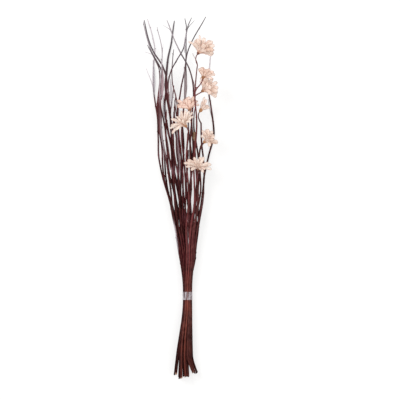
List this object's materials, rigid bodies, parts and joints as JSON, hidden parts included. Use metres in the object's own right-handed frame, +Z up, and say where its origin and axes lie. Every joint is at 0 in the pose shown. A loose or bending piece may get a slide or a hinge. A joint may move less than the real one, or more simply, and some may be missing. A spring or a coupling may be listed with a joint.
{
  "type": "dried flower bouquet",
  "caption": "Dried flower bouquet lying down: long dark twigs and cream strip-petalled blooms, held by one clear band near the cut ends.",
  "frame": {"origin": "on the surface under the middle of the lying bouquet's bounding box", "axes": "+Y along the stems from the cut ends to the tips, +X to the right as seen from above, +Z up"},
  "size_m": [0.2074, 0.9984, 0.1386],
  "materials": {
    "bark": "dry bark",
    "red_stem": "dry bark",
    "dried_petal": "matt",
    "dry_leaf": "matt",
    "brown_bud": "dry husk",
    "clear_film": "clear film, several turns"
  },
  "bodies": {
    "root": {"twig_low_left": "bark", "twig_low_middle": "bark", "twig_low_right": "bark", "twig_second_left": "bark", "twig_second_inner": "bark", "twig_second_crossing": "bark", "twig_second_right": "bark", "twig_third_left": "bark", "twig_third_leaning": "bark", "twig_third_inner": "bark", "twig_third_crossing": "bark", "twig_third_right": "bark", "twig_fourth_left": "bark", "twig_fourth_leaning": "bark", "twig_fourth_inner": "bark", "twig_fourth_middle": "bark", "twig_fourth_short": "bark", "twig_fourth_right": "bark", "twig_fifth_left": "bark", "twig_fifth_wavy": "bark", "twig_fifth_tall": "bark", "twig_sixth_left": "bark", "twig_sixth_inner": "bark", "bud_stem": "red_stem", "flower_stem_small": "red_stem", "flower_stem_middle": "red_stem", "flower_stem_side": "red_stem", "flower_stem_star": "red_stem", "flower_stem_top": "red_stem", "flower_stem_low": "red_stem", "bloom_top": "dried_petal", "bloom_right": "dried_petal", "bloom_upper_right": "dried_petal", "bloom_middle": "dried_petal", "bloom_star": "dried_petal", "bloom_side": "dried_petal", "bloom_low": "dried_petal", "bloom_small": "dried_petal", "bud": "brown_bud", "dry_leaf": "dry_leaf", "tie_band": "clear_film"}
  },
  "joints": []
}
